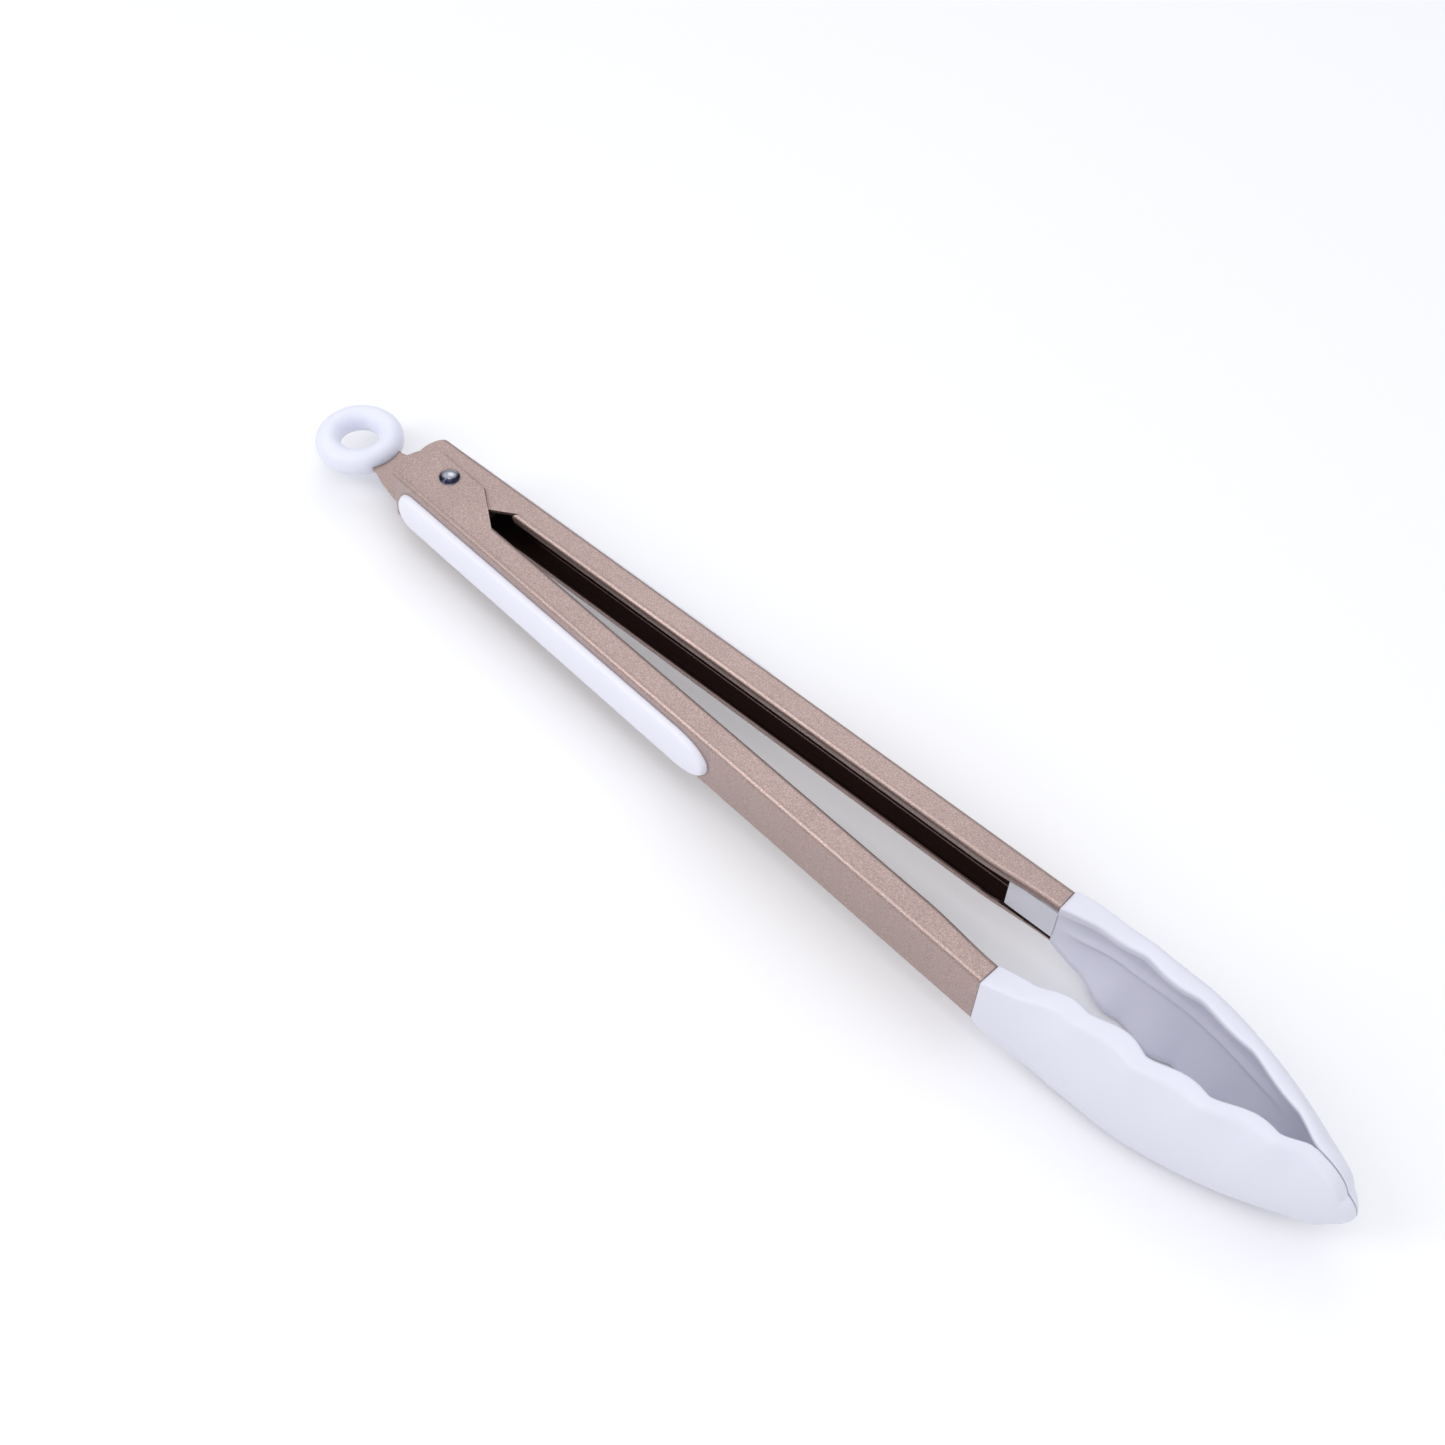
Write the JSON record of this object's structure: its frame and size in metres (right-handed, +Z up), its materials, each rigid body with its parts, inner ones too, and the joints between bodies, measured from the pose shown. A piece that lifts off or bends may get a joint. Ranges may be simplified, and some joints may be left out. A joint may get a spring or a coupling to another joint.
{
  "type": "spring loaded kitchen tongs",
  "caption": "Spring loaded kitchen tongs: two lipped sheet-metal arms on one rivet, silicone scalloped scoop heads and grips, sliding lock plate with a pull ring.",
  "frame": {"origin": "under the middle of the object as it lies closed and locked on its side, on the level of its lowest point", "axes": "+X from the pull ring to the tips, +Z up along the pivot axis, outer arm on the -Y side"},
  "size_m": [0.3158, 0.0346, 0.03],
  "materials": {
    "arm_paint": "satin metallic champagne",
    "plate_paint": "satin metallic champagne",
    "silicone": "soft matte white silicone",
    "ring_silicone": "soft milky silicone",
    "nylon": "moulded",
    "rivet_chrome": "polished",
    "spring_steel": "drawn wire"
  },
  "bodies": {
    "outer_arm": {"outer_arm": "arm_paint", "outer_grip": "silicone", "outer_head_core": "nylon", "outer_head": "silicone", "pivot_rivet": "rivet_chrome", "pivot_sleeve": "nylon"},
    "inner_arm": {"inner_arm": "arm_paint", "inner_grip": "silicone", "inner_head_core": "nylon", "inner_head": "silicone"},
    "spring": {"torsion_spring": "spring_steel"},
    "lock_tab": {"lock_plate": "plate_paint", "pull_ring": "ring_silicone"}
  },
  "joints": [
    {"name": "arm_open", "type": "hinge", "parent": "outer_arm", "child": "inner_arm", "pos_m": [-0.10928, 0, 0.015], "axis": [0, 0, 1], "range_deg": [0, 28], "stiffness_Nm_per_rad": 0.35, "springref_deg": 85.94, "deforming": ["torsion_spring"]},
    {"name": "spring_turn", "type": "hinge", "parent": "outer_arm", "child": "spring", "pos_m": [-0.10928, 0, 0.015], "axis": [0, 0, 1], "range_deg": [0, 14]},
    {"name": "lock_slide", "type": "slide", "parent": "spring", "child": "lock_tab", "axis": [1, 0, 0], "range_m": [0, 0.0115]}
  ],
  "couplings": [
    {"joint": "spring_turn", "follows": "arm_open", "ratio": 0.5},
    {"joint": "lock_slide", "follows": "arm_open", "m_per_rad": 0.0235}
  ]
}
